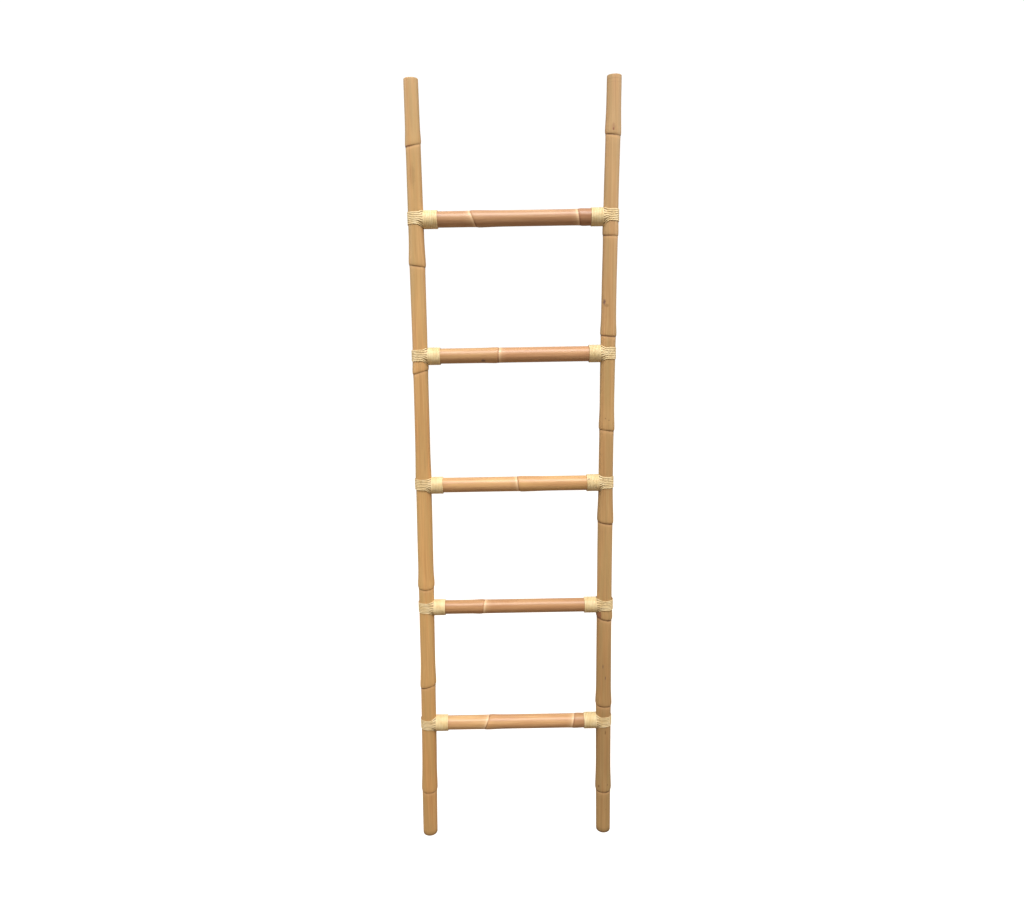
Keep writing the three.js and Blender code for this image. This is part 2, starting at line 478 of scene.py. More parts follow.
# The radius in mm at ten even heights, from the foot to the top.
RAIL_GIRTHS = {
    "left": [18.0, 18.4, 17.9, 18.1, 18.4, 17.5, 17.1, 17.5, 16.8, 16.0],
    "right": [17.7, 18.2, 18.4, 17.7, 17.6, 16.7, 17.2, 16.7, 16.5, 16.1],
}
RAIL_RADIUS = 17.4 * MM
RAIL_EDGE = 2.4 * MM  # how far its ends are rounded
SAW_TILT = math.radians(5)  # the tops were sawn a little off square, higher at the back

rails = {}
for side in SIDES:
    scars = [(height * MM, *rest, 1) for height, *rest in RAIL_SCARS[side]]
    rail = shape_pole(f"rail_{side}_pole", RACK_HEIGHT, RAIL_RADIUS, scars, RAIL_EDGE)
    start_edit(rail)
    pick(rail, lambda place: place.z > RACK_HEIGHT - 4 * MM)
    turn_picked(SAW_TILT, "X", (0, -RAIL_RADIUS, RACK_HEIGHT))
    end_edit()
    bend_into_rail(rail, side, RAIL_RADIUS, RAIL_GIRTHS[side])
    rails[side] = rail
    print(rail.name, len(rail.data.polygons), "faces")

# %% [markdown]
# ### The five rungs
#
# A rung is a shorter pole laid across. Its ends are coped: hollowed like a fish mouth, so that they
# sit against the round rails. A boolean with a cylinder of the rail's size cuts that shape exactly.
# A cut so close to the pole's side leaves crumbs and slivers, and these are cleared away.

# %% Shape the rungs
# Each scar: from the rung's middle in mm, how far its top leans to the right, swelling, darkness at the
# top and underneath, facing.
RUNG_SCARS = {
    1: [(-78, 0.38, 0.6, (0.8, 1), 1), (137, 0.2, 0.6, (1, 0.8), 1)],
    2: [(-79.5, 0.15, 0.6, (1, 0.7), -1)],
    3: [(10, -0.14, 0.6, (0.9, 0.6), 1)],
    4: [(-31, 0.04, 0.5, (0.7, 1.2), -1)],
    5: [(-82, -0.42, 0.6, (0.4, 1.1), 1), (154, -0.16, 0.7, (0.8, 1), 1)],
}
RUNG_EDGE = 0.5 * MM
SLANT_BACK = 0.05  # the slant of every rung's scars from front to back
COPE_PLAY = 0.4 * MM  # between a rung's end and its rail


def cope(rung, side, height):
    """Hollows a rung's end to fit round its rail."""
    middle = along_rings(RINGS[side], height, 1)
    girth = along_rings(RINGS[side], height, 2)
    bpy.ops.mesh.primitive_cylinder_add(
        vertices=64, radius=girth + COPE_PLAY, depth=80 * MM, location=(middle, 0, height)
    )
    cutter = bpy.context.object
    cut = rung.modifiers.new("cope", "BOOLEAN")
    cut.operation = "DIFFERENCE"
    cut.solver = "EXACT"
    cut.object = cutter
    apply_modifiers(rung)
    bpy.data.objects.remove(cutter)


def clear_offcuts(rung):
    """Keeps what hangs together with the rung's middle, and merges the slivers that the cuts left."""
    start_edit(rung)
    pick(rung, lambda place: abs(place.x) < 20 * MM)
    bpy.ops.mesh.select_linked()
    bpy.ops.mesh.select_all(action="INVERT")
    bpy.ops.mesh.delete(type="VERT")
    bpy.ops.mesh.select_all(action="SELECT")
    bpy.ops.mesh.quads_convert_to_tris()
    bpy.ops.mesh.remove_doubles(threshold=0.02 * MM)
    bpy.ops.mesh.dissolve_degenerate(threshold=0.01 * MM)
    end_edit()


rungs = {}
for number in RUNG_NUMBERS:
    low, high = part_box(f"rung_{number}")
    length = high.x - low.x
    radius = RUNG_RADIUS[number] - 0.3 * MM  # the frame's box takes in the swelling at a scar
    scars = [(place * MM - low.x, -lean, SLANT_BACK, *rest) for place, lean, *rest in RUNG_SCARS[number]]
    rung = shape_pole(f"rung_{number}_pole", length, radius, scars, RUNG_EDGE)
    rung.rotation_euler = (0, math.pi / 2, 0)
    rung.location = (low.x, 0, RUNG_AXIS[number])
    apply_place(rung)
    for side in SIDES:
        cope(rung, side, RUNG_AXIS[number])
    clear_offcuts(rung)
    rungs[number] = rung
    print(rung.name, len(rung.data.polygons), "faces")

# %% [markdown]
# ## The binding round each rail
#
# Seven strips of split cane go round the rail, one above the other. Their ends leave the rail in
# front and behind, fan out over the rung's end, and disappear under the collar. Six wider strips
# lie under them and fill the gaps of the fan. The strips could be curves with a bevel, but their
# flat side has to roll from the rail on to the rung, so a section is spun a quarter turn round the
# rail and then extruded, step by step, with a small turn each time. Only the front half is made: a
# Mirror modifier gives the back half. Joint sizes differ by a millimetre or so, so one binding is
# made at a middle size, and each copy is fitted.

# %% One strip
MID_RAIL = 17.4 * MM
MID_RUNG = 17.3 * MM
STRIPS = 7
STRIP_PITCH = 3.85 * MM
STRIP_WIDTH = 3.75 * MM
STRIP_THICKNESS = 1.7 * MM
SECTION_POINTS = 12  # round a strip of cane
UNDER_WIDTH = 5.8 * MM
UNDER_DEPTH = 0.75 * MM  # how much deeper the under strips lie
BAND_LIFT = 2 * MM  # the band sits this much above the rung's axis
FAN_END = 78  # degrees round the rung, from its front, where the outermost strips end
FAN_POWER = 1.35  # above 1, because seen from the front the middle strips stay close together
ROUTE = (0, 3, 6, 8.5, 10.5, 12.5, 14.5, 16.5, 18.5, 21, 26)  # mm along the rung from the rail's axis


def ease(value, low, high):
    """0 below low, 1 above high, and a smooth rise between."""
    share = min(1, max(0, (value - low) / (high - low)))
    return share * share * (3 - 2 * share)


def strip_route(order, depth, reach):
    """Where the strip's middle is at reach along the rung, and how far it has rolled over."""
    height = BAND_LIFT + order * STRIP_PITCH
    share = abs(order) / (STRIPS // 2)
    fan = math.copysign(math.radians(FAN_END * share**FAN_POWER), order)
    on_rail = MID_RAIL + STRIP_THICKNESS / 2 - depth
    on_rung = MID_RUNG + STRIP_THICKNESS / 2 - depth
    rise = ease(reach, 5 * MM, 19 * MM)
    z = height + (on_rung * math.sin(fan) - height) * rise
    rail_front = math.sqrt(max(0, on_rail**2 - reach**2))
    rung_front = math.sqrt(max(0, on_rung**2 - z**2))
    roll = math.asin(max(-1, min(1, z / on_rung))) * ease(reach, 7 * MM, 17 * MM)
    return Vector((reach, -max(rail_front, rung_front), z)), roll


def make_strip(order, width, depth, jitter, least_gap_shade):
    """One strip's front half, from the rail's outer side to its end on the rung.

    Order counts the strips up from the middle one. Each vertex's edge number sets how much painted gap
    shade it gets, and is never under least_gap_shade.
    """
    middle = BAND_LIFT + order * STRIP_PITCH + jitter
    bpy.ops.mesh.primitive_circle_add(
        vertices=SECTION_POINTS, radius=1, rotation=(math.pi / 2, 0, 0),
        location=(depth - MID_RAIL - STRIP_THICKNESS / 2, 0, middle),
    )
    strip = bpy.context.object
    strip.scale = (STRIP_THICKNESS / 2, width / 2, 1)
    apply_place(strip)
    # The edge number gives the strip painted shade towards its sides, where the gap to the next strip is.
    edge = strip.data.attributes.new("edge", "FLOAT", "POINT")
    for vertex, number in zip(strip.data.vertices, edge.data):
        number.value = max(least_gap_shade, ease(abs(vertex.co.z - middle), width * 0.3, width * 0.49))
    start_edit(strip)
    bpy.ops.mesh.select_all(action="SELECT")
    bpy.ops.mesh.spin(steps=10, angle=-math.pi / 2, center=(0, 0, 0), axis=(0, 0, 1))
    place, roll = strip_route(order, depth, 0)
    heading = 0
    for reach in ROUTE[1:]:
        next_place, next_roll = strip_route(order, depth, reach * MM)
        step = next_place - place
        next_heading = math.atan2(step.y, step.x)
        bpy.ops.mesh.extrude_region_move(TRANSFORM_OT_translate={"value": step})
        centre = next_place + Vector((0, 0, jitter))
        turn_picked((next_heading - heading) * 0.7, "Z", centre)
        turn_picked(-(next_roll - roll), "X", centre)
        place, roll, heading = next_place, next_roll, next_heading
    end_edit()
    return strip


# %% Join the strips into one binding
def make_binding():
    """The pattern that all ten bindings are copied from, round a rail and a rung of middle size."""
    chance = random.Random(11)
    strips = []
    for order in range(STRIPS):
        jitter = chance.uniform(-0.25, 0.25) * MM
        strips.append(make_strip(order - STRIPS // 2, STRIP_WIDTH, 0, jitter, 0))
    # The under strips lie deeper, so each carries painted shade all over: its edge number is at least 0.6.
    for order in range(STRIPS - 1):
        strips.append(make_strip(order - STRIPS // 2 + 0.5, UNDER_WIDTH, UNDER_DEPTH, 0, 0.6))
    bpy.ops.object.select_all(action="DESELECT")
    for strip in strips:
        strip.select_set(True)
    bpy.context.view_layer.objects.active = strips[0]
    bpy.ops.object.join()
    binding = bpy.context.object
    binding.name = "binding_pattern"
    back = binding.modifiers.new("back half", "MIRROR")
    back.use_axis = (False, True, False)
    back.merge_threshold = 0.01 * MM
    apply_modifiers(binding)
    start_edit(binding)
    bpy.ops.mesh.select_all(action="SELECT")
    bpy.ops.mesh.fill_holes(sides=0)
    face_outwards()
    end_edit()
    return binding


binding_pattern = make_binding()
print("binding pattern:", len(binding_pattern.data.polygons), "faces")

# %% [markdown]
# ## The collar round each rung's end
#
# A long strip is wound round the rung, over the ends of the others, for eight turns. A section that
# turns round an axis and moves along it is what the Screw modifier makes. A hand keeps each turn
# square to the rung where it shows, though, and steps over to the next one at the back, so every
# point is then slid along by how far round it is. The turns lap slightly, which leaves soft ridges.

# %% One collar
TURNS = 8
COLLAR_LENGTH = 28 * MM
COLLAR_THICKNESS = 1.7 * MM
COLLAR_OUTSIDE = MID_RUNG + 2.9 * MM
TURN_PITCH = COLLAR_LENGTH / (TURNS + 0.06)
STEP_OVER = 0.2  # the share of a turn in which the strip moves over by one pitch, at the back


def make_collar():
    """A wound collar along +X from the origin, round the X axis, that starts and ends at the back."""
    half_width = TURN_PITCH * 0.53
    bpy.ops.mesh.primitive_circle_add(
        vertices=SECTION_POINTS, radius=1, location=(half_width, COLLAR_OUTSIDE - COLLAR_THICKNESS / 2, 0)
    )
    collar = bpy.context.object
    collar.name = "collar_pattern"
    collar.scale = (half_width, COLLAR_THICKNESS / 2, 1)
    apply_place(collar)
    # The edge number gives each turn painted shade towards its sides, where it laps the next turn.
    edge = collar.data.attributes.new("edge", "FLOAT", "POINT")
    for vertex, number in zip(collar.data.vertices, edge.data):
        number.value = ease(abs(vertex.co.x - half_width), half_width * 0.5, half_width)
    wind = collar.modifiers.new("wind", "SCREW")
    wind.axis = "X"
    wind.angle = math.radians(360) * TURNS
    wind.screw_offset = TURN_PITCH * TURNS
    wind.steps = wind.render_steps = 40 * TURNS
    wind.use_merge_vertices = False
    apply_modifiers(collar)
    for vertex in collar.data.vertices:
        turned = math.atan2(vertex.co.z, vertex.co.y) / math.radians(360) % 1
        vertex.co.x += TURN_PITCH * (ease(turned, 0, STEP_OVER) - turned - 1)
    start_edit(collar)
    bpy.ops.mesh.select_all(action="SELECT")
    bpy.ops.mesh.fill_holes(sides=0)
    face_outwards()
    end_edit()
    return collar


collar_pattern = make_collar()
print("collar pattern:", len(collar_pattern.data.polygons), "faces")

# %% [markdown]
# ## Tacks
#
# One small tack pins the end of each collar's strip. Its head is a low dome: a short cylinder whose
# top rim is bevelled until it is round.

# %% One tack, its head's underside at the origin and its point down
HEAD_RADIUS = 2 * MM
HEAD_HEIGHT = 0.7 * MM
SHANK_RADIUS = 0.6 * MM
SHANK_LENGTH = 6 * MM
POINT_LENGTH = 1.8 * MM


def make_tack():
    bpy.ops.mesh.primitive_cylinder_add(
        vertices=20, radius=HEAD_RADIUS, depth=HEAD_HEIGHT, location=(0, 0, HEAD_HEIGHT / 2)
    )
    tack = bpy.context.object
    tack.name = "tack_pattern"
    apply_place(tack)
    start_edit(tack)
    pick(tack, lambda place: place.z > HEAD_HEIGHT * 0.9)
    bpy.ops.mesh.bevel(offset=HEAD_HEIGHT * 0.8, segments=4, profile=0.5)
    pick(tack, lambda place: place.z < TINY)
    bpy.ops.mesh.inset(thickness=HEAD_RADIUS - SHANK_RADIUS, depth=0)
    bpy.ops.mesh.extrude_region_move(TRANSFORM_OT_translate={"value": (0, 0, -SHANK_LENGTH)})
    bpy.ops.mesh.extrude_region_move(TRANSFORM_OT_translate={"value": (0, 0, -POINT_LENGTH)})
    bpy.ops.transform.resize(
        value=(0.15, 0.15, 1), center_override=(0, 0, -SHANK_LENGTH - POINT_LENGTH)
    )
    end_edit()
    shade_smooth(tack, 40)
    return tack


tack_pattern = make_tack()
print("tack pattern:", len(tack_pattern.data.polygons), "faces")

# %% [markdown]
# ## Fitting the ten joints
#
# Each joint gets its own copies, with a mesh of their own. A copy is scaled to the poles that it
# goes round, mirrored for the right-hand rail, and moved into place. No two hand-tied joints are
# alike, so a cloudy displacement then shifts the strips up and down a little, differently at each.

# %% Copy, fit and vary
def copy_of(pattern, name):
    only(pattern)
    bpy.ops.object.duplicate(linked=False)
    piece = bpy.context.object
    piece.name = piece.data.name = name
    return piece


def place_copy(piece, scale, place):
    """Scales and moves a copy, and turns its faces outwards again if the scale mirrored it."""
    piece.scale = scale
    piece.location = place
    apply_place(piece)
    start_edit(piece)
    face_outwards()
    end_edit()


clouds = bpy.data.textures.new("hand_tied", "CLOUDS")
clouds.noise_scale = 0.026
clouds.noise_depth = 1


def vary(piece, direction, strength):
    """A small cloudy shift along one axis, read at the piece's real place, so each joint differs."""
    shift = piece.modifiers.new("vary", "DISPLACE")
    shift.texture = clouds
    shift.texture_coords = "GLOBAL"
    shift.direction = direction
    shift.strength = strength
    shift.mid_level = 0.5
    apply_modifiers(piece)


BAND_REACH = 16 * MM  # up and down from the rung's axis, a little more than half a band
BEDDING = 0.2 * MM  # how far the strips press into the rail's thickest place
CANE_GAP = 0.1 * MM  # between cane and rail


def rail_girth(side, height):
    """The finished rail's radius at a joint, where the middle strips of the band lie."""
    near = [vertex.co for vertex in rails[side].data.vertices if abs(vertex.co.z - height) < BAND_REACH]
    return max(abs(place.y) for place in near) - BEDDING


# Bands that were tied a little high or low, or loose: (rise in mm, how many times as tall).
BAND_HABITS = {
    (1, "left"): (1.2, 0.95), (1, "right"): (1.4, 0.98), (2, "left"): (2, 1), (2, "right"): (1, 0.98),
    (3, "left"): (2.4, 0.96), (4, "left"): (0.3, 0.95), (4, "right"): (-1.4, 1), (5, "right"): (0, 0.96),
}


def settle_band(binding, middle, inwards, axis, wider, rise, taller):
    """Fits the band to the rail, and moves and stretches it there: its ends stay under the collar."""
    for vertex in binding.data.vertices:
        on_rail = 1 - ease((vertex.co.x - middle) * inwards, 6 * MM, 16 * MM)
        vertex.co.y *= 1 + on_rail * (wider - 1)
        vertex.co.z += on_rail * (rise * MM + (vertex.co.z - axis) * (taller - 1))


bindings, collars, tacks = {}, {}, {}
for number in RUNG_NUMBERS:
    for side in SIDES:
        inwards = 1 if side == "left" else -1
        axis = RUNG_AXIS[number]
        middle = along_rings(RINGS[side], axis, 1)
        girth = rail_girth(side, axis)

        binding = copy_of(binding_pattern, f"binding_{number}_{side}")
        round_rail = (girth + CANE_GAP) / MID_RAIL
        on_rung = RUNG_RADIUS[number] / MID_RUNG
        place_copy(binding, (inwards * round_rail, on_rung, on_rung), (middle, 0, axis))
        vary(binding, "Z", 2.8 * MM)
        rise, taller = BAND_HABITS.get((number, side), (0, 1))
        settle_band(binding, middle, inwards, axis, round_rail / on_rung, rise, taller)
        shade_smooth(binding, 60)
        bindings[number, side] = binding

        low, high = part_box(f"rung_collar_{number}_{side}")
        start = middle + inwards * (girth + CANE_GAP)
        end = high.x if side == "left" else low.x
        collar = copy_of(collar_pattern, f"collar_{number}_{side}")
        long = abs(end - start) / COLLAR_LENGTH
        round_rung = (high.z - low.z) / 2 / COLLAR_OUTSIDE
        place_copy(collar, (inwards * long, round_rung, round_rung), (start, 0, axis))
        vary(collar, "X", 0.9 * MM)
        shade_smooth(collar, 60)
        collars[number, side] = collar

        low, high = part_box(f"tack_{number}_{side}")
        outwards = Vector((0, (low.y + high.y) / 2, (low.z + high.z) / 2 - axis)).normalized()
        tack = copy_of(tack_pattern, f"tack_{number}_{side}_domed")
        tack.rotation_euler = outwards.to_track_quat("Z", "X").to_euler()
        collar_face = round_rung * COLLAR_OUTSIDE
        tack.location = Vector(((low.x + high.x) / 2, 0, axis)) + outwards * (collar_face - 0.1 * MM)
        apply_place(tack)
        tacks[number, side] = tack

for pattern in (binding_pattern, collar_pattern, tack_pattern):
    bpy.data.objects.remove(pattern)
print(len(bindings), "bindings,", len(collars), "collars and", len(tacks), "tacks")

# %% [markdown]
# ## Finishes
#
# All the natural surfaces share a few effects: long fibre streaks, soft cloudy patches, small dark
# specks and the tint at a growth scar. Each effect is a node group, so every finish can place it
# with its own values.

# %% Group helpers
def new_group(name, inputs, outputs):
    """A shader node group with its sockets = {name: (kind, default)}, and its two end nodes."""
    group = bpy.data.node_groups.new(name, "ShaderNodeTree")
    for label, (kind, default) in inputs.items():
        socket = group.interface.new_socket(label, in_out="INPUT", socket_type=f"NodeSocket{kind}")
        if default is not None:
            socket.default_value = default
    for label, kind in outputs.items():
        group.interface.new_socket(label, in_out="OUTPUT", socket_type=f"NodeSocket{kind}")
    return group, group.nodes.new("NodeGroupInput"), group.nodes.new("NodeGroupOutput")


def place_group(tree, group, **values):
    made = tree.nodes.new("ShaderNodeGroup")
    made.node_tree = group
    return fill(made, **values)


# %% Fibre streaks
def make_fibre_group():
    """Long thin streaks. Stretch says how many there are per metre along X, Y and Z."""
    group, start, end = new_group(
        "fibre_streaks",
        {"Place": ("Vector", None), "Stretch": ("Vector", (300, 300, 6))},
        {"Coarse": "Float", "Fine": "Float"},
    )
    stretch = node(group, "ShaderNodeVectorMath", operation="MULTIPLY")
    group.links.new(start.outputs["Place"], stretch.inputs[0])
    group.links.new(start.outputs["Stretch"], stretch.inputs[1])
    for label, scale, detail in (("Coarse", 1.0, 3), ("Fine", 4.5, 2)):
        noise = fill(node(group, "ShaderNodeTexNoise"), Scale=scale, Detail=detail, Roughness=0.55)
        group.links.new(stretch.outputs["Vector"], noise.inputs["Vector"])
        group.links.new(noise.outputs["Fac"], end.inputs[label])
    return group


# %% Specks
def make_speck_group():
    """Small scattered dark specks: 1 in a speck and 0 elsewhere. Share is how much is covered."""
    group, start, end = new_group(
        "specks",
        {"Place": ("Vector", None), "Stretch": ("Vector", (500, 500, 200)), "Share": ("Float", 0.2)},
        {"Mask": "Float"},
    )
    stretch = node(group, "ShaderNodeVectorMath", operation="MULTIPLY")
    noise = fill(node(group, "ShaderNodeTexNoise"), Scale=1.0, Detail=1.0, Roughness=0.5)
    limit = node(group, "ShaderNodeMath", operation="SUBTRACT")
    limit.inputs[0].default_value = 1
    mask = node(group, "ShaderNodeMapRange")
    group.links.new(start.outputs["Place"], stretch.inputs[0])
    group.links.new(start.outputs["Stretch"], stretch.inputs[1])
    group.links.new(stretch.outputs["Vector"], noise.inputs["Vector"])
    group.links.new(start.outputs["Share"], limit.inputs[1])
    group.links.new(noise.outputs["Fac"], mask.inputs["Value"])
    group.links.new(limit.outputs["Value"], mask.inputs["From Min"])
    group.links.new(mask.outputs["Result"], end.inputs["Mask"])
    return group


# %% One mark at a known place
def make_mark_group():
    """A soft-edged mark: 1 in its middle. Size is its half width along X, Y and Z, in metres."""
    group, start, end = new_group(
        "mark",
        {"Place": ("Vector", None), "Middle": ("Vector", None), "Size": ("Vector", (0.01, 0.01, 0.01))},
        {"Mask": "Float"},
    )
    ragged = fill(node(group, "ShaderNodeTexNoise"), Scale=260.0, Detail=2.0, Roughness=0.6)
    offset = node(group, "ShaderNodeVectorMath", operation="SUBTRACT")
    share = node(group, "ShaderNodeVectorMath", operation="DIVIDE")
    length = node(group, "ShaderNodeVectorMath", operation="LENGTH")
    rough_edge = node(group, "ShaderNodeMath", operation="ADD")
    mask = node(group, "ShaderNodeMapRange", interpolation_type="SMOOTHSTEP")
    fill(mask, From_Min=1.75, From_Max=0.9)
    group.links.new(start.outputs["Place"], offset.inputs[0])
    group.links.new(start.outputs["Middle"], offset.inputs[1])
    group.links.new(offset.outputs["Vector"], share.inputs[0])
    group.links.new(start.outputs["Size"], share.inputs[1])
    group.links.new(share.outputs["Vector"], length.inputs[0])
    group.links.new(start.outputs["Place"], ragged.inputs["Vector"])
    group.links.new(length.outputs["Value"], rough_edge.inputs[0])
    group.links.new(ragged.outputs["Fac"], rough_edge.inputs[1])
    group.links.new(rough_edge.outputs["Value"], mask.inputs["Value"])
    group.links.new(mask.outputs["Result"], end.inputs["Mask"])
    return group


FIBRE = make_fibre_group()
SPECKS = make_speck_group()
MARK = make_mark_group()
print("node groups:", [group.name for group in bpy.data.node_groups])

# %% [markdown]
# ## Pole finish
#
# Peeled rattan is honey coloured and satin. Along the pole run fine fibres, slow patches make one
# stretch redder or paler than the next, and a scar is a dark line with a pale ring under it. The
# rails and the rungs share this recipe, with their own colours: the rungs are smoothed and
# lacquered, so they are glossier and pinker.

# %% Pole material
def tint(tree, colour, mask, shade, amount):
    """Mixes shade over colour where mask is 1, as strongly as amount, and gives the new colour."""
    strength = node(tree, "ShaderNodeMath", operation="MULTIPLY")
    strength.inputs[1].default_value = amount
    tree.links.new(mask, strength.inputs[0])
    mix = node(tree, "ShaderNodeMix", data_type="RGBA")
    mix.inputs["B"].default_value = (*shade, 1)
    tree.links.new(strength.outputs["Value"], mix.inputs["Factor"])
    tree.links.new(colour, mix.inputs["A"])
    return mix.outputs["Result"]


def pole_finish(name, stops, stretch, look):
    """stops = colours along the fibre streaks; look holds the pole's other colours and values."""
    material, tree, shader = new_material(name)
    place = node(tree, "ShaderNodeTexCoord").outputs["Object"]

    fibre = place_group(tree, FIBRE, Stretch=stretch)
    broad = place_group(tree, FIBRE, Stretch=look["broad"])
    blend = fill(node(tree, "ShaderNodeMapRange"), From_Min=0.36, From_Max=0.64)
    tree.links.new(place, fibre.inputs["Place"])
    tree.links.new(place, broad.inputs["Place"])
    tree.links.new(broad.outputs["Coarse"], blend.inputs["Value"])
    colour = ramp(tree, fibre.outputs["Coarse"], stops)
    colour = tint(tree, colour, blend.outputs["Result"], look["patch"], look["patch_amount"])

    # The tone ramp along the pole multiplies the colour: partly the stretches' own colour, partly painted
    # shade (a darker right rail, a contact shadow at the feet, darker lower rungs).
    first, last = look["tones_and_shade"][0][0], look["tones_and_shade"][-1][0]
    split = node(tree, "ShaderNodeSeparateXYZ")
    along = fill(node(tree, "ShaderNodeMapRange"), From_Min=first * MM, From_Max=last * MM)
    tree.links.new(place, split.inputs["Vector"])
    tree.links.new(split.outputs[look["axis"]], along.inputs["Value"])
    stops = [((reach - first) / (last - first), tone) for reach, tone in look["tones_and_shade"]]
    toned = node(tree, "ShaderNodeMix", data_type="RGBA", blend_type="MULTIPLY")
    toned.inputs["Factor"].default_value = 1
    tree.links.new(colour, toned.inputs["A"])
    tree.links.new(ramp(tree, along.outputs["Result"], stops), toned.inputs["B"])
    colour = toned.outputs["Result"]

    specks = place_group(tree, SPECKS, Stretch=tuple(value * 1.6 for value in stretch), Share=0.3)
    tree.links.new(place, specks.inputs["Place"])
    colour = tint(tree, colour, specks.outputs["Mask"], look["dark"], 0.55)

    for middle, size, shade, amount in look["marks"]:
        mark = place_group(tree, MARK, Middle=middle, Size=size)
        tree.links.new(place, mark.inputs["Place"])
        colour = tint(tree, colour, mark.outputs["Mask"], shade, amount)

    pale = node(tree, "ShaderNodeAttribute", attribute_name="pale")
    scar = node(tree, "ShaderNodeAttribute", attribute_name="scar")
    gaps = fill(node(tree, "ShaderNodeTexNoise"), Scale=55.0, Detail=1.0)
    worn = fill(node(tree, "ShaderNodeMapRange"), From_Min=0.32, From_Max=0.5, To_Min=0.4)
    line = node(tree, "ShaderNodeMath", operation="MULTIPLY")
    tree.links.new(place, gaps.inputs["Vector"])
    tree.links.new(gaps.outputs["Fac"], worn.inputs["Value"])
    tree.links.new(scar.outputs["Fac"], line.inputs[0])
    tree.links.new(worn.outputs["Result"], line.inputs[1])
    colour = tint(tree, colour, pale.outputs["Fac"], look["pale"], look["pale_amount"])
    colour = tint(tree, colour, line.outputs["Value"], look["scar"], look["scar_amount"])
    tree.links.new(colour, shader.inputs["Base Color"])

    rough = fill(node(tree, "ShaderNodeMapRange"), To_Min=look["rough"] - 0.05, To_Max=look["rough"] + 0.08)
    tree.links.new(fibre.outputs["Coarse"], rough.inputs["Value"])
    tree.links.new(rough.outputs["Result"], shader.inputs["Roughness"])
    relief = fill(node(tree, "ShaderNodeBump"), Strength=look["relief"], Distance=0.0004)
    tree.links.new(fibre.outputs["Fine"], relief.inputs["Height"])
    tree.links.new(relief.outputs["Normal"], shader.inputs["Normal"])
    shader.inputs["Specular IOR Level"].default_value = look["shine"]
    shader.inputs["Coat Weight"].default_value = look["coat"]
    shader.inputs["Coat Roughness"].default_value = 0.25
    return material


# %% The rails' and rungs' own values
def at(side, height, across=0.0):
    """A place on a rail's front, height and across in mm, across from the pole's middle."""
    middle = along_rings(RINGS[side], height * MM, 1)
    return (middle + across * MM, -RAIL_RADIUS, height * MM)


HONEY = [(0.3, (0.61, 0.32, 0.117)), (0.5, (0.715, 0.403, 0.154)), (0.72, (0.80, 0.49, 0.20))]
ROSY = [(0.3, (0.50, 0.26, 0.12)), (0.5, (0.60, 0.33, 0.16)), (0.72, (0.70, 0.42, 0.22))]
GOLDEN = [(0.3, (0.58, 0.32, 0.13)), (0.5, (0.68, 0.40, 0.17)), (0.72, (0.77, 0.49, 0.23))]
BARK = (0.16, 0.07, 0.03)
BRUISE = (0.10, 0.05, 0.06)
SHEATH = (0.26, 0.09, 0.045)
GROOVE = (0.11, 0.035, 0.015)

# How light each stretch of a rail is: (height in mm, red, green and blue as a share of HONEY).
# The stretches differ in their own colour, but the whole right rail is also darker as painted
# shade, and the dark band at each foot is a painted contact shadow.
RAIL_TONES_AND_SHADE = {
    "left": [
        (0, (0.3, 0.27, 0.26)), (4, (0.4, 0.37, 0.36)), (9, (0.84, 0.82, 0.81)), (190, (0.87, 0.82, 0.77)),
        (480, (0.94, 0.92, 0.90)), (760, (0.96, 0.95, 0.92)), (1050, (0.85, 0.81, 0.78)),
        (1310, (0.88, 0.88, 0.88)), (1445, (0.79, 0.79, 0.80)), (1600, (0.77, 0.77, 0.76)),
        (1800, (0.80, 0.83, 0.95)),
    ],
    "right": [
        (0, (0.2, 0.19, 0.2)), (4, (0.28, 0.27, 0.28)), (9, (0.68, 0.69, 0.71)), (190, (0.62, 0.63, 0.66)),
        (460, (0.66, 0.65, 0.66)), (715, (0.78, 0.80, 0.84)), (905, (0.69, 0.69, 0.72)),
        (1110, (0.75, 0.76, 0.77)), (1370, (0.72, 0.73, 0.80)), (1620, (0.74, 0.76, 0.86)),
        (1800, (0.73, 0.76, 0.90)),
    ],
}
# Each mark: its middle, its half sizes in metres, its colour and how strong it is.
RAIL_MARKS = {
    "left": [
        (at("left", 1660, -12), (0.008, 0.03, 0.0016), SHEATH, 0.8),
        (at("left", 1598, -3), (0.007, 0.02, 0.028), BARK, 0.2),
        (at("left", 960, 6), (0.002, 0.02, 0.03), BARK, 0.15),
    ],
    "right": [
        (at("right", 1791), (0.1, 0.1, 0.0008), BARK, 0.2),
        (at("right", 1784), (0.1, 0.1, 0.0008), BARK, 0.15),
        (at("right", 1691, -1), (0.0042, 0.02, 0.009), SHEATH, 0.35),
        (at("right", 1687, -1), (0.0017, 0.02, 0.0035), SHEATH, 0.9),
        (at("right", 1320, -12), (0.003, 0.02, 0.007), BRUISE, 0.75),
        (at("right", 1312, -7), (0.006, 0.02, 0.004), BARK, 0.35),
        (at("right", 1056, -5), (0.0016, 0.02, 0.002), BARK, 0.6),
        (at("right", 1052, 3), (0.0016, 0.02, 0.002), BARK, 0.5),
        (at("right", 580, -14), (0.006, 0.03, 0.018), SHEATH, 0.8),
        (at("right", 448, -4), (0.0012, 0.02, 0.006), BRUISE, 0.7),
        (at("right", 418, 2), (0.0012, 0.02, 0.005), BRUISE, 0.7),
        (at("right", 275, 3), (0.002, 0.02, 0.006), BARK, 0.6),
        (at("right", 128, -13), (0.0022, 0.03, 0.004), BARK, 0.7),
        (at("right", 133, 9), (0.0018, 0.03, 0.003), BARK, 0.5),
        (at("right", 65, 5), (0.0012, 0.02, 0.0014), BARK, 0.5),
    ],
}
RUNG_END = 215  # mm from a rung's middle
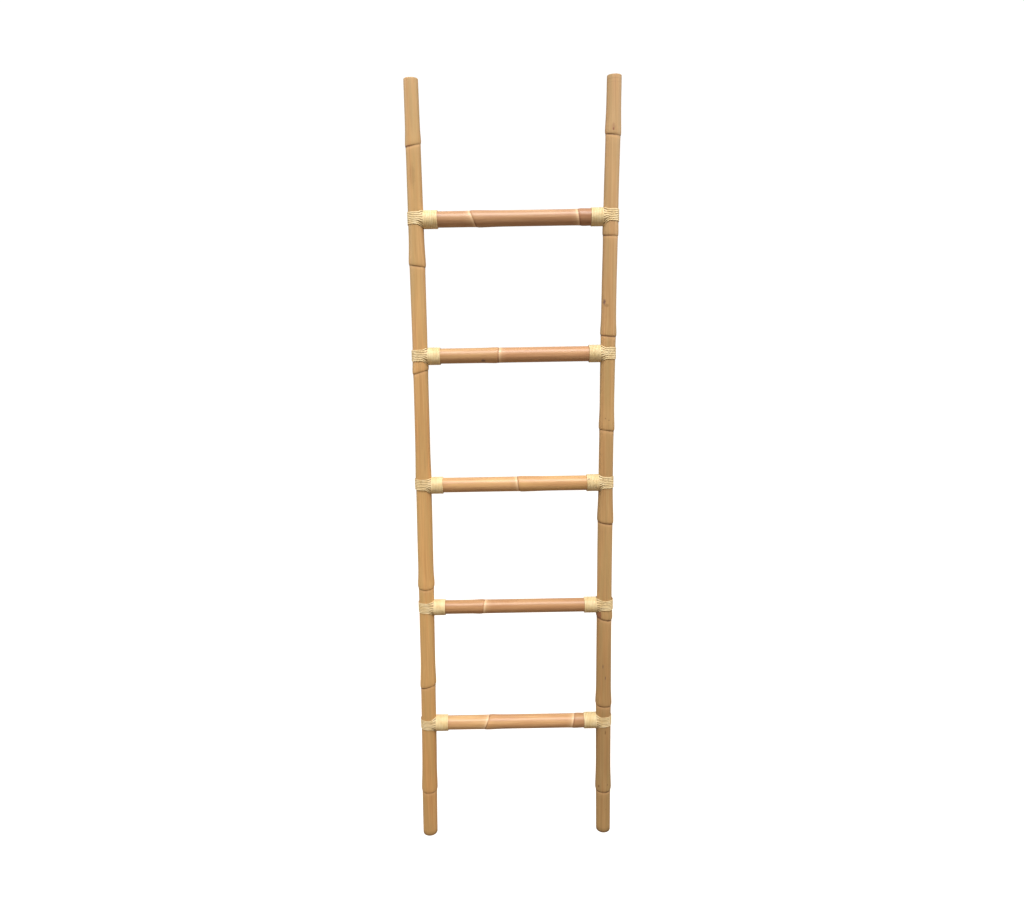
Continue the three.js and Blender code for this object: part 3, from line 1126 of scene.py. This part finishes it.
# A rung's colours, its tones_and_shade = [(mm from its middle, share of the colours)], and its
# marks. The tones step at the scars, where the rung's own colour changes, and the tones of the
# lower rungs are also lowered a little, as painted shade.
RUNG_FINISHES = {
    1: (GOLDEN, [(-RUNG_END, (1, 1, 1)), (-82, (1, 1, 1)), (-75, (0.93, 0.88, 0.87)),
                 (135, (0.93, 0.88, 0.87)), (139, (0.76, 0.70, 0.70)), (RUNG_END, (0.76, 0.70, 0.70))], []),
    2: (ROSY, [(-RUNG_END, (0.87, 0.83, 0.72)), (RUNG_END, (0.86, 0.82, 0.74))], []),
    3: (GOLDEN, [(-RUNG_END, (1, 1, 0.97)), (8, (1, 1, 0.97)), (12, (0.98, 0.97, 0.87)),
                 (RUNG_END, (0.98, 0.97, 0.87))],
        [((0, -0.01, RUNG_AXIS[3]), (0.011, 0.02, 0.014), SHEATH, 0.25)]),
    4: (ROSY, [(-RUNG_END, (0.96, 1, 0.92)), (-34, (0.96, 1, 0.90)), (-30, (0.93, 0.90, 0.86)),
               (RUNG_END, (0.93, 0.90, 0.86))],
        [((-0.0665, -0.01, RUNG_AXIS[4] - 0.0115), (0.006, 0.02, 0.003), BRUISE, 0.7)]),
    5: (ROSY, [(-RUNG_END, (0.88, 0.90, 0.90)), (152, (0.87, 0.86, 0.87)), (156, (0.74, 0.67, 0.67)),
               (RUNG_END, (0.74, 0.67, 0.67))], []),
}
rail_look = {
    "axis": "Z", "patch": (0.60, 0.385, 0.15), "patch_amount": 0.75, "broad": (75, 75, 5), "dark": BARK,
    "pale": (0.86, 0.52, 0.25), "pale_amount": 0.4, "scar": GROOVE, "scar_amount": 1,
    "rough": 0.55, "relief": 0.35, "shine": 0.35, "coat": 0.04,
}
rung_look = {
    "axis": "X", "patch": (0.52, 0.26, 0.13), "patch_amount": 0.6, "broad": (9, 70, 70), "dark": BARK,
    "pale": (0.92, 0.66, 0.38), "pale_amount": 0.65, "scar": SHEATH, "scar_amount": 0.75,
    "rough": 0.4, "relief": 0.22, "shine": 0.4, "coat": 0.18,
}
for side in SIDES:
    look = dict(rail_look, tones_and_shade=RAIL_TONES_AND_SHADE[side], marks=RAIL_MARKS[side])
    give_finish(rails[side], pole_finish(f"rattan_rail_{side}", HONEY, (330, 330, 5), look))
for number in RUNG_NUMBERS:
    stops, tones_and_shade, marks = RUNG_FINISHES[number]
    look = dict(rung_look, tones_and_shade=tones_and_shade, marks=marks)
    give_finish(rungs[number], pole_finish(f"rattan_rung_{number}", stops, (7, 300, 300), look))
print("pole finishes:", [material.name for material in bpy.data.materials if "rattan" in material.name])

# %% [markdown]
# ## Cane finish
#
# The binding is the rattan's outer skin, split into strips: hard, smooth, cream coloured and
# slightly shiny. The edge of each strip is painted darker: painted shade where two strips meet,
# with the varnish that gathers there. The edge is known from a number that each vertex of a strip
# has carried since it was made.

# %% Cane material
CREAM = [(0.3, (0.79, 0.585, 0.28)), (0.5, (0.87, 0.68, 0.36)), (0.7, (0.92, 0.76, 0.445))]
# Painted shade for the gaps between strips and between a collar's turns, mixed with varnish.
GAP_SHADE_AND_VARNISH = (0.25, 0.115, 0.03)


def cane_finish(name, stretch, gap_shade_amount, lightness):
    """gap_shade_amount says how strong the painted gap shade, with varnish, is at a strip's edge."""
    material, tree, shader = new_material(name)
    place = node(tree, "ShaderNodeTexCoord").outputs["Object"]
    fibre = place_group(tree, FIBRE, Stretch=stretch)
    patches = fill(node(tree, "ShaderNodeTexNoise"), Scale=70.0, Detail=2.0, Roughness=0.5)
    tree.links.new(place, fibre.inputs["Place"])
    tree.links.new(place, patches.inputs["Vector"])
    stops = [(reach, tuple(value * lightness for value in cream)) for reach, cream in CREAM]
    colour = ramp(tree, patches.outputs["Fac"], stops)
    colour = tint(tree, colour, fibre.outputs["Coarse"], (0.70, 0.50, 0.24), 0.3)
    # Painted shade, with varnish, darkens each strip towards its edges, where it meets the next.
    edge = node(tree, "ShaderNodeAttribute", attribute_name="edge")
    colour = tint(tree, colour, edge.outputs["Fac"], GAP_SHADE_AND_VARNISH, gap_shade_amount)
    tree.links.new(colour, shader.inputs["Base Color"])
    relief = fill(node(tree, "ShaderNodeBump"), Strength=0.2, Distance=0.0002)
    tree.links.new(fibre.outputs["Fine"], relief.inputs["Height"])
    tree.links.new(relief.outputs["Normal"], shader.inputs["Normal"])
    rough = fill(node(tree, "ShaderNodeMapRange"), To_Min=0.36, To_Max=0.5)
    tree.links.new(patches.outputs["Fac"], rough.inputs["Value"])
    tree.links.new(rough.outputs["Result"], shader.inputs["Roughness"])
    return material


strip_cane = cane_finish("cane_round_the_rail", (25, 600, 600), gap_shade_amount=0.95, lightness=1.04)
collar_cane = {
    "left": cane_finish("cane_wound_on_the_left", (600, 40, 40), gap_shade_amount=0.3, lightness=1),
    # The right-hand collars are the same cane painted darker, as shade, with a little more painted gap
    # shade.
    "right": cane_finish("cane_wound_on_the_right_in_painted_shade", (600, 40, 40), gap_shade_amount=0.35, lightness=0.91),
}
for number, side in bindings:
    give_finish(bindings[number, side], strip_cane)
    give_finish(collars[number, side], collar_cane[side])
print("cane finishes:", strip_cane.name, *[cane.name for cane in collar_cane.values()])

# %% [markdown]
# ## Metal finishes
#
# The screws are zinc plated and the tacks are dull brown steel. Both are plain metals with a little
# cloudy variation, because plating and oxide are never quite even.

# %% Metal materials
def metal_finish(name, bright, dull, roughness):
    material, tree, shader = new_material(name)
    place = node(tree, "ShaderNodeTexCoord").outputs["Object"]
    cloud = fill(node(tree, "ShaderNodeTexNoise"), Scale=900.0, Detail=3.0)
    tree.links.new(place, cloud.inputs["Vector"])
    colour = ramp(tree, cloud.outputs["Fac"], [(0.35, dull), (0.65, bright)])
    tree.links.new(colour, shader.inputs["Base Color"])
    rough = fill(node(tree, "ShaderNodeMapRange"), To_Min=roughness - 0.08, To_Max=roughness + 0.12)
    tree.links.new(cloud.outputs["Fac"], rough.inputs["Value"])
    tree.links.new(rough.outputs["Result"], shader.inputs["Roughness"])
    shader.inputs["Metallic"].default_value = 1.0
    return material


screw_metal = metal_finish("zinc_plated_steel", (0.62, 0.62, 0.60), (0.42, 0.43, 0.43), 0.35)
tack_metal = metal_finish("brown_steel", (0.34, 0.26, 0.18), (0.16, 0.11, 0.07), 0.45)
for (number, side), tack in tacks.items():
    give_finish(tack, tack_metal)
    give_finish(frame["nodes"][f"screw_{number}_{side}"], screw_metal)
print("metal finishes:", screw_metal.name, tack_metal.name)

# %% [markdown]
# ## Handing the pieces to the frame
#
# Every new piece joins the rack's one rigid body, and the frame piece that it stands for is
# hidden.

# %% Tie each piece to the frame
def hand_over(piece, stands_for):
    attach(piece, "root")
    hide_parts(stands_for)


for side in SIDES:
    hand_over(rails[side], f"rail_{side}")
for number in RUNG_NUMBERS:
    hand_over(rungs[number], f"rung_{number}")
    for side in SIDES:
        hand_over(bindings[number, side], f"rail_binding_{number}_{side}")
        hand_over(collars[number, side], f"rung_collar_{number}_{side}")
        hand_over(tacks[number, side], f"tack_{number}_{side}")
